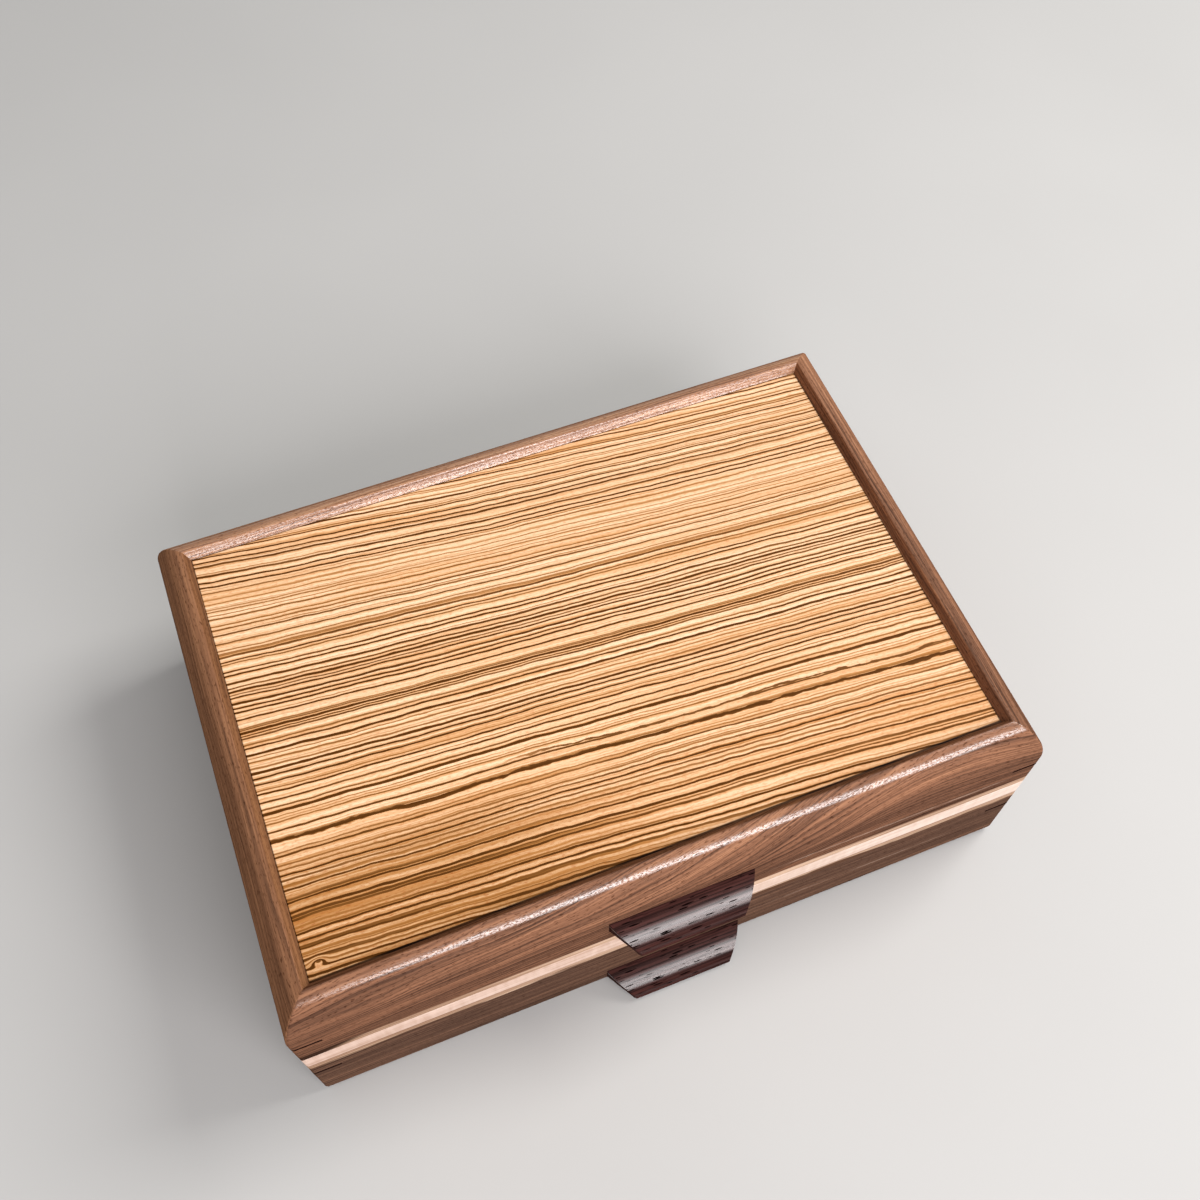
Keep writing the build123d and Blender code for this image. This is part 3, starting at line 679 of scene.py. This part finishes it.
def lip_pull(name, top, body, replaced):
    """Rows go out along the crown and back along the hollow; columns spread each row over the pull's width there."""
    nose, tip_top = PULL_REACH - PULL_NOSE, top - PULL_DROOP
    low, tip_low = top - PULL_ROOT, tip_top - PULL_TIP
    tip = (PULL_REACH, (tip_top + tip_low) / 2)
    crown = arc_through((0.0, top), (nose / 2, (top + tip_top) / 2 + CROWN_RISE), (nose, tip_top))
    rim = arc_through((nose, tip_top), tip, (nose, tip_low), 21)
    cove = arc_through((nose, tip_low), (nose / 2, (low + tip_low) / 2 + COVE_RISE), (0.0, low))
    plan = arc_through(*PULL_PLAN)
    out = PULL_REACH * np.sin(np.linspace(0.0, pi / 2, 34))
    above = np.interp(out, *np.vstack([crown, rim[1:11]]).T)
    below = np.interp(out, *np.vstack([cove[::-1], rim[10:-1][::-1]]).T)
    half = np.interp(out, *plan.T)
    reach = np.concatenate([out, out[-2::-1]])
    height = np.concatenate([above, below[-2::-1]])
    wide = np.concatenate([half, half[-2::-1]])
    spread = np.linspace(-1.0, 1.0, 40)
    x = wide[:, None] * spread + PULL_MIDDLE
    y = -(DEPTH / 2 + reach)[:, None] + BOX_Y + 0 * x
    points = np.dstack([x, y, height[:, None] + 0 * x])
    rows, columns = x.shape
    quads = closed_faces(rows, columns)[0]
    k = np.arange(len(out) - 1)
    pair = rows - 1 - k
    girth = np.concatenate([[0.0], np.cumsum(np.hypot(np.diff(reach), np.diff(height)))])
    grain = np.column_stack([x.ravel(), np.repeat(girth, columns)])
    faces = quads.tolist()
    for column, flip in ((0, True), (columns - 1, False)):
        strip = np.column_stack([k, k + 1, np.where(k + 1 == pair - 1, k + 1, pair - 1), pair]) * columns + column
        strip = strip[:, ::-1] if flip else strip
        faces += [list(dict.fromkeys(face)) for face in strip.tolist()]
    made = piece(name, points, faces, body, pull_wood, replaced, grain[np.concatenate(faces)])
    bevel = made.modifiers.new("broken_edges", "BEVEL")
    bevel.width, bevel.segments, bevel.limit_method, bevel.angle_limit = 0.35 * MM, 3, "ANGLE", radians(40.0)
    return made


for made in (lip_pull("lid_lip_pull", ROUND_Z, "lid", ["lid_pull"]),
             lip_pull("base_lip_pull", BASE_PULL_Z, "base", ["base_pull"])):
    print(made.name, len(made.data.polygons), "faces")

# %% [markdown]
# The accent band is three strips. The middle one is maple, nearly white, with a faint curl: soft bars across the
# grain. The outer two are tan, and a thin brown glue line parts them from the maple. The upper tan strip on the front
# also carries a painted shadow at its left end, where the seam stands open.

# %% Accent band
BAND_Z = 44.4         # foot of the maple strip, mm
SAP_Z, SEAM_SHADOW_END = 40.2, -270.0    # heartwood's height in the lower strip; where the painted seam shadow ends in the upper one


def side_lengths(start, side):
    """Length along a side, depth into it and height, in mm, from the point's place in the frame."""
    x, y, z = millimetres(start)
    y = y - BOX_Y
    return (x, y, z) if side in ("front", "back") else (y, x, z)


def curly_maple(name, side, seed):
    """Pale wood: slow clouds, fine streaks along the grain, soft bars across it, brown at the lower glue line."""
    material, start = finish(name, Specular_IOR_Level=0.0)
    along, deep, z = side_lengths(start, side)
    slow = cloud(place(along / 70.0, z / 5.0, deep / 5.0 + seed))
    fine = cloud(place(along / 30.0, z / 0.5, deep / 0.5 + seed), 1.0, 2.0)
    bars = cloud(place(along / 3.5, z / 25.0, seed), 1.0, 2.0)
    whiter = ease(along, -80.0, 80.0)
    deep_tone = tint(whiter, (0.48, 0.32, 0.245), (0.58, 0.43, 0.35))
    pale_tone = tint(whiter, (0.66, 0.50, 0.42), (0.71, 0.585, 0.51))
    wood = tint(ease(slow * 0.4 + fine * 0.4 + bars * 0.3, 0.40, 0.68), deep_tone, pale_tone)
    glue = ease(z, BAND_Z + 0.12, BAND_Z + 0.45, 1.0, 0.0)
    wood = shade(wood, glue * 0.7, (0.40, 0.25, 0.16))
    connect(material, Base_Color=wood, Roughness=fine * 0.1 + 0.36, Normal=dent(fine, 0.05, 0.0002))
    return material


def tan_wood(name, side, seed, edge, sap=None, seam_shadow_end=None):
    """Tan wood with brown streaks, a brown glue line at edge, heartwood below sap, and a painted seam shadow at the
    left end.
    """
    material, start = finish(name, Specular_IOR_Level=0.0)
    along, deep, z = side_lengths(start, side)
    bend = cloud(place(along / 60.0, z / 6.0, seed), 1.0, 1.0) * 3.0
    streaks = cloud(place(along / 120.0, (z + bend) / 1.1, deep / 1.1 + seed), 1.0, 3.0)
    fine = cloud(place(along / 20.0, z / 0.35, deep / 0.35 + seed), 1.0, 2.0)
    paler = ease((along - 15.0).math("ABSOLUTE") + cloud(place(along / 40.0, seed)) * 60.0, 150.0, 30.0, 0.0, 0.15)
    wood = tint(ease(streaks * 0.75 + fine * 0.25 + paler, 0.36, 0.74), (0.24, 0.135, 0.080), (0.60, 0.42, 0.305))
    glue = ease((z - edge).math("ABSOLUTE"), 0.15, 0.5, 1.0, 0.0)
    wood = shade(wood, glue * 0.75, (0.35, 0.22, 0.15))
    if sap:
        rise, rag = (2.2, 9.0) if side == "front" else (0.0, 5.0)
        hump = ease((along - 40.0).math("ABSOLUTE"), 60.0, 20.0, 0.0, rise)
        ragged = (cloud(place(along / 30.0, z / 4.0, seed), 1.0, 3.0) - 0.5) * rag + hump
        heart = ease(z - ragged + streaks * 2.0, sap, sap + 1.6, 1.0, 0.0)
        wood = tint(heart, wood, tint(fine, (0.06, 0.031, 0.020), (0.13, 0.066, 0.041)))
    if seam_shadow_end:
        # Painted shadow: a dark wedge at the left end, where the seam between lid and base stands open.
        painted_seam_shadow = tint(fine, (0.02, 0.010, 0.007), (0.06, 0.030, 0.019))
        wood = tint(ease(along - z * 2.5, seam_shadow_end, seam_shadow_end - 14.0), wood, painted_seam_shadow)
    connect(material, Base_Color=wood, Roughness=fine * 0.1 + 0.36, Normal=dent(fine, 0.06, 0.0002))
    return material


for seed, side in enumerate(TURNS):
    dress(curly_maple(f"maple_{side}", side, 5.0 + 9.0 * seed), f"base_band_{side}")
    seam_shadow_end = SEAM_SHADOW_END if side == "front" else None
    dress(tan_wood(f"tan_lid_{side}", side, 3.0 + 7.0 * seed, RAIL_Z, seam_shadow_end=seam_shadow_end), f"lid_trim_{side}")
    dress(tan_wood(f"tan_base_{side}", side, 6.0 + 8.0 * seed, BAND_Z, SAP_Z), f"base_trim_{side}")
print("accent band dressed")

# %% [markdown]
# Inside, the fittings are plain maple and birch board: the same streaked noise, with the grain along each piece.


# %% Inside woods
def plain_wood(name, side, light, dark, seed):
    """Streaks and hairs along a piece, between two colours."""
    material, start = finish(name, Specular_IOR_Level=0.45)
    along, deep, z = side_lengths(start, side)
    bend = cloud(place(along / 90.0, deep / 20.0, z / 20.0 + seed), 1.0, 1.0) * 6.0
    streaks = cloud(place(along / 140.0, (deep + bend) / 2.2, (z + bend) / 2.2 + seed), 1.0, 3.0)
    hairs = cloud(place(along / 16.0, deep / 0.4, z / 0.4 + seed), 1.0, 2.0)
    wood = tint(ease(streaks * 0.7 + hairs * 0.3, 0.34, 0.68), dark, light)
    connect(material, Base_Color=wood, Roughness=hairs * 0.12 + 0.40, Normal=dent(hairs, 0.06, 0.0002))
    return material


MAPLE_LIGHT, MAPLE_DARK = (0.74, 0.57, 0.40), (0.56, 0.39, 0.24)
maple_x = plain_wood("maple_along_x", "front", MAPLE_LIGHT, MAPLE_DARK, 2.0)
maple_y = plain_wood("maple_along_y", "left", MAPLE_LIGHT, MAPLE_DARK, 12.0)
birch = plain_wood("birch_board", "front", (0.66, 0.50, 0.33), (0.50, 0.34, 0.20), 22.0)
dress(maple_x, "runner_front", "runner_back", "base_divider_long", "tray_divider_long")
dress(maple_x, "tray_side_front", "tray_side_back")
dress(maple_y, "base_divider_left", "base_divider_right", "tray_side_left", "tray_side_right", "tray_divider_short")
dress(birch, "base_bottom", "tray_floor")
print("inside woods dressed")

# %% [markdown]
# The hinges are satin brass: a metal, with fine scratches along the leaf that spread its mirror image.


# %% Brass
def satin_brass(name):
    """A metal whose colour is a little browner in a slow cloud, and whose gloss is broken by scratches along X."""
    material, start = finish(name, Metallic=1.0)
    x, y, z = millimetres(start)
    tarnish = cloud(place(x / 9.0, y / 6.0, z / 6.0), 1.0, 3.0)
    scratches = cloud(place(x / 14.0, y / 0.12, z / 0.12), 1.0, 2.0)
    metal = tint(ease(tarnish, 0.35, 0.7), (0.76, 0.55, 0.25), (0.62, 0.42, 0.18))
    connect(material, Base_Color=metal, Roughness=scratches * 0.16 + tarnish * 0.12 + 0.18)
    return material


brass = satin_brass("satin_brass")
dress(brass, "hinge_leaves_lid", "hinge_leaves_base", "hinge_pins", "hinge_screws_lid", "hinge_screws_base")
print("hinges dressed")

# %% [markdown]
# The soft pieces are short-pile velvet over foam. Velvet is bright at its edges, where one looks along the pile, and
# its colour changes in strokes where the pile was brushed. The shader's sheen gives the first, noise the second.


# %% Velvet
def velvet(name):
    """Wine red pile: brushed strokes in the colour, a grainy bump, and sheen."""
    material, start = finish(name, Sheen_Weight=0.7, Sheen_Roughness=0.35, Sheen_Tint=(0.9, 0.35, 0.4, 1.0),
                             Specular_IOR_Level=0.1)
    x, y, z = millimetres(start)
    strokes = cloud(place(x / 40.0, y / 22.0, z / 22.0), 1.0, 2.0)
    pile = cloud(place(x / 0.45, y / 0.45, z / 0.45), 1.0, 2.0)
    cloth = tint(ease(strokes * 0.5 + pile * 0.5, 0.30, 0.72), (0.060, 0.009, 0.014), (0.120, 0.019, 0.028))
    connect(material, Base_Color=cloth, Roughness=pile * 0.1 + 0.85, Normal=dent(pile, 0.4, 0.0004))
    return material


wine_velvet = velvet("wine_velvet")
print("velvet ready")

# %% [markdown]
# A pad is a slip of foam in a skin of velvet. The skin is sewn first: a top sheet, its shadow on the board below, and
# a low wall between the two. Then the cloth solver blows it up from inside, while the points that glue or a divider
# holds stay where they are. The solver is steadier on large things, so it works on the pad at five times its size.

# %% Sew and blow up a skin
SOLVER_SIZE = 5.0


def sewn_skin(top, floor_z):
    """Points and faces of a closed skin: rows of the top sheet run along x, columns along y."""
    rows, columns = top.shape[:2]
    under = top.copy()
    under[..., 2] = floor_z
    i, j = np.meshgrid(np.arange(rows - 1), np.arange(columns - 1), indexing="ij")
    corner = (i * columns + j).ravel()
    sheet = np.column_stack([corner, corner + columns, corner + columns + 1, corner + 1])
    edge = np.concatenate([
        np.arange(rows - 1) * columns, (rows - 1) * columns + np.arange(columns - 1),
        np.arange(rows - 1, 0, -1) * columns + columns - 1, np.arange(columns - 1, 0, -1),
    ])
    following, below = np.roll(edge, -1), rows * columns
    wall = np.column_stack([edge + below, following + below, following, edge])
    points = np.vstack([top.reshape(-1, 3), under.reshape(-1, 3)])
    return points, np.vstack([sheet, sheet[:, ::-1] + below, wall])


def blow_up(points, faces, held, cap):
    """The skin after twenty steps of cloth with air inside; no point goes further than cap, in mm."""
    mesh = bpy.data.meshes.new("skin")
    mesh.from_pydata(points * MM * SOLVER_SIZE, [], faces.tolist())
    skin = bpy.data.objects.new("skin", mesh)
    bpy.context.scene.collection.objects.link(skin)
    skin.vertex_groups.new(name="held").add(np.flatnonzero(held).tolist(), 1.0, "REPLACE")
    cloth = skin.modifiers.new("air", "CLOTH").settings
    cloth.vertex_group_mass = "held"
    cloth.use_pressure = True
    cloth.uniform_pressure_force = 4.0
    cloth.effector_weights.gravity = 0.0
    for step in range(1, 21):
        bpy.context.scene.frame_set(step)
    blown = skin.evaluated_get(bpy.context.evaluated_depsgraph_get()).data
    places = np.empty(3 * len(points), np.float32)
    blown.vertices.foreach_get("co", places)
    bpy.context.scene.frame_set(1)
    bpy.data.objects.remove(skin)
    move = places.reshape(-1, 3) / (MM * SOLVER_SIZE) - points
    far = np.linalg.norm(move, axis=1, keepdims=True)
    print("furthest point moved, mm:", round(float(far.max()), 2))
    return points + move * np.minimum(1.0, cap / np.maximum(far, 1e-6))


def node_box(name):
    """The lowest and highest corner of a solid, in mm."""
    return [np.array(corner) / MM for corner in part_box(name)]


def velvet_piece(name, points, faces, body, node):
    """A pad kept within the room that its solid holds, a tenth of a millimetre in at the sides."""
    low, high = node_box(node)
    kept = points.copy()
    kept[:, :2] = np.clip(points[:, :2], low[:2] + 0.1, high[:2] - 0.1)
    kept[:, 2] = np.maximum(points[:, 2], low[2])
    made = piece(name, kept, faces.tolist(), body, wine_velvet, [node], sharp=60.0)
    return made


print("sewing tools ready")

# %% [markdown]
# A ring roll stands on the tray's floor: low straight sides, a round back, ends drawn in a little. One roll is blown
# up, and all five are copies of it, so a ring slips between any two of them in the same way.

# %% Ring rolls
ROLL_SIDE = 3.6
roll_low, roll_high = node_box("ring_roll_1")
roll_long, roll_wide, roll_tall = roll_high - roll_low
u, v = np.meshgrid(np.linspace(-1.0, 1.0, 73), np.linspace(0.0, pi, 21), indexing="ij")
drawn_in = 1.0 - 0.10 * u ** 10
roll_top = np.dstack([
    u * (roll_long / 2 - 0.5), -(roll_wide / 2 - 0.5) * np.cos(v) * drawn_in,
    ROLL_SIDE + (roll_tall - 0.6 - ROLL_SIDE) * np.sin(v) ** 0.8 * (1.0 - 0.16 * u ** 12),
])
roll_skin, roll_faces = sewn_skin(roll_top, 0.0)
roll_blown = blow_up(roll_skin, roll_faces, roll_skin[:, 2] < 0.1, 0.7)
for number in range(1, 6):
    low, high = node_box(f"ring_roll_{number}")
    stand = np.array([*(low + high)[:2] / 2, low[2]])
    node = f"ring_roll_{number}"
    made = velvet_piece(f"{node}_velvet", roll_blown + stand, roll_faces, "tray", node)
    print(made.name, len(made.data.polygons), "faces")

# %% [markdown]
# The two tray pads are thin cushions, glued down: their edges stay on the floor and the middle swells.

# %% Tray pads
for side in ("left", "right"):
    low, high = node_box(f"tray_pad_{side}")
    half = (high - low)[:2] / 2 - 0.3
    u, v = np.meshgrid(np.linspace(-1.0, 1.0, 41), np.linspace(-1.0, 1.0, 61), indexing="ij")
    crown = (1.0 - u ** 8) * (1.0 - v ** 8)
    pad_top = np.dstack([u * half[0], v * half[1], 0.9 + 1.1 * crown ** 0.6])
    pad_skin, pad_faces = sewn_skin(pad_top, 0.0)
    pad_blown = blow_up(pad_skin, pad_faces, pad_skin[:, 2] < 0.1, 1.0)
    stand = np.array([*(low + high)[:2] / 2, low[2]])
    made = velvet_piece(f"tray_pad_{side}_velvet", pad_blown + stand, pad_faces, "tray", f"tray_pad_{side}")
    print(made.name, len(made.data.polygons), "faces")

# %% [markdown]
# The lining covers the whole bottom, and the dividers stand on it. They press it flat under their feet, so it swells
# in six fields.

# %% Lining
DIVIDER_X, DIVIDER_HALF = 45.0, 2.0
low, high = node_box("base_lining")
half = (high - low)[:2] / 2 - 0.3
u, v = np.meshgrid(np.linspace(-1.0, 1.0, 135), np.linspace(-1.0, 1.0, 91), indexing="ij")
lining_x, lining_y = u * half[0], v * half[1]
to_foot = np.minimum(np.abs(np.abs(lining_x) - DIVIDER_X), np.abs(lining_y)) - DIVIDER_HALF
to_edge = np.minimum(half[0] - np.abs(lining_x), half[1] - np.abs(lining_y))
room = np.clip(np.minimum(to_foot, to_edge + 1.0) / 12.0, 0.0, 1.0)
lining_skin, lining_faces = sewn_skin(np.dstack([lining_x, lining_y, 1.9 + 0.6 * np.sin(room * pi / 2)]), 0.0)
pressed = np.concatenate([(room < 0.02).ravel(), np.ones(room.size, bool)])
lining_blown = blow_up(lining_skin, lining_faces, pressed, 1.0)
stand = np.array([*(low + high)[:2] / 2, low[2]])
made = velvet_piece("base_lining_velvet", lining_blown + stand, lining_faces, "base", "base_lining")
print(made.name, len(made.data.polygons), "faces")
